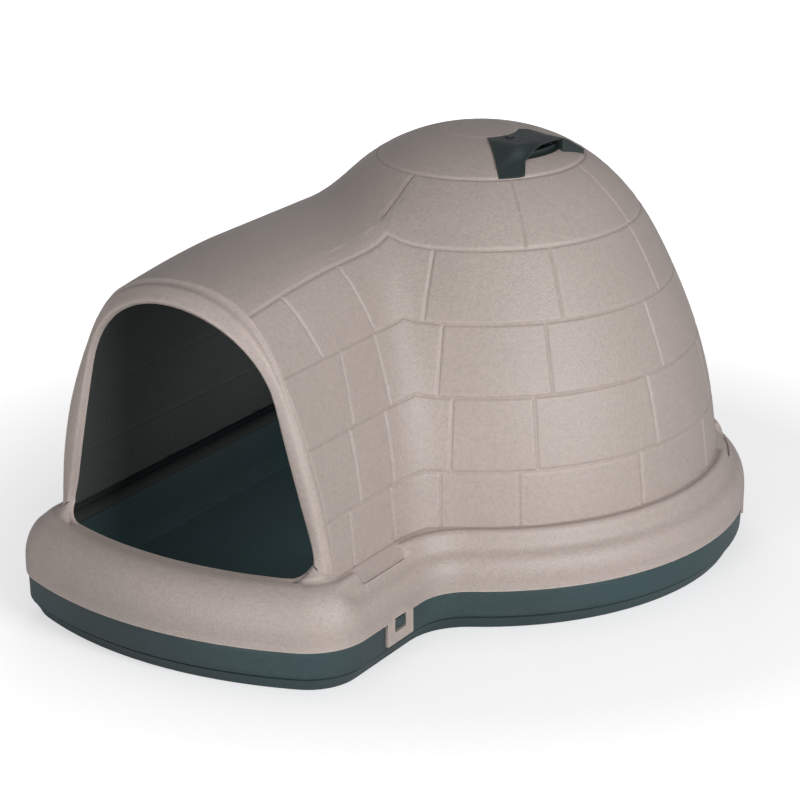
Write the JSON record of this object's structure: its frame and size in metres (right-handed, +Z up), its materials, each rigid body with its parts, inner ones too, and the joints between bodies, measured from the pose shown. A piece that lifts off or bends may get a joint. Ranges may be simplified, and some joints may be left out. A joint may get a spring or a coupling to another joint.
{
  "type": "dog house",
  "caption": "Igloo-shaped plastic dog house with an offset entrance tunnel, a lift-off shell on a base pan and a rotary roof vent.",
  "frame": {"origin": "on the floor, at the foot of the dome's upright axis", "axes": "+Z up; the doorway looks along -Y; the entrance tunnel stands off towards -X; +X to the right"},
  "size_m": [0.8356, 1.1295, 0.649],
  "materials": {
    "shell_plastic": "fine pebble grain, taupe",
    "cap_plastic": "fine pebble grain, taupe",
    "pan_plastic": "satin, dark green",
    "vent_plastic": "satin, dark green",
    "pin_plastic": "satin, near black"
  },
  "bodies": {
    "base": {"base_pan": "pan_plastic"},
    "shell": {"upper_shell": "shell_plastic", "vent_hood": "vent_plastic", "vent_pin": "pin_plastic", "apex_cap": "cap_plastic", "pivot_clip": "pin_plastic"},
    "shutter": {"vent_shutter": "vent_plastic"}
  },
  "joints": [
    {"name": "shell_lift", "type": "slide", "parent": "base", "child": "shell", "axis": [0, 0, 1], "range_m": [0, 0.25]},
    {"name": "vent_turn", "type": "hinge", "parent": "shell", "child": "shutter", "pos_m": [0, 0, 0.62], "axis": [0, 0, 1], "range_deg": [-13, 21]}
  ]
}
